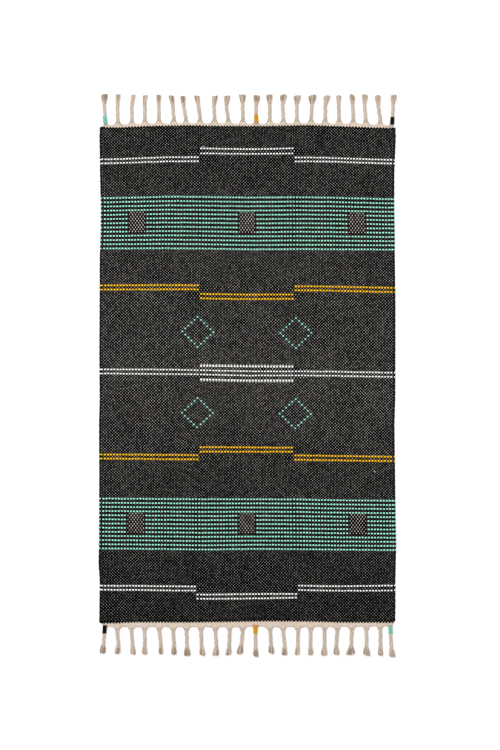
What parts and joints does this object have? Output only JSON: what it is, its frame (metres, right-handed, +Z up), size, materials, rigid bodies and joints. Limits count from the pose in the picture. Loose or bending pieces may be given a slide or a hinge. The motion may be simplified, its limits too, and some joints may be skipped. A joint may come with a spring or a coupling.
{
  "type": "kilim",
  "caption": "Flat-woven rectangular cotton rug with inlaid stripes, squares and diamonds and a brush-ended tassel fringe at both ends.",
  "frame": {"origin": "on the floor under the middle of the kilim, fringes counted", "axes": "+X across the width, +Y along the length to the far fringe, +Z up out of the face"},
  "size_m": [0.7066, 1.3355, 0.0082],
  "materials": {
    "black_weave": "matte plain weave of black weft over natural warp",
    "natural_cotton": "matte undyed cotton, twisted",
    "white_yarn": "matte bleached cotton",
    "mint_yarn": "matte dyed cotton",
    "orange_yarn": "matte dyed cotton",
    "black_yarn": "matte dyed cotton"
  },
  "bodies": {
    "root": {"cloth": "black_weave", "fringe_far": "natural_cotton", "fringe_near": "natural_cotton", "wrap_mint_far": "mint_yarn", "wrap_orange_far": "orange_yarn", "wrap_black_far": "black_yarn", "wrap_black_near": "black_yarn", "wrap_orange_near": "orange_yarn", "wrap_mint_near": "mint_yarn"}
  },
  "joints": []
}
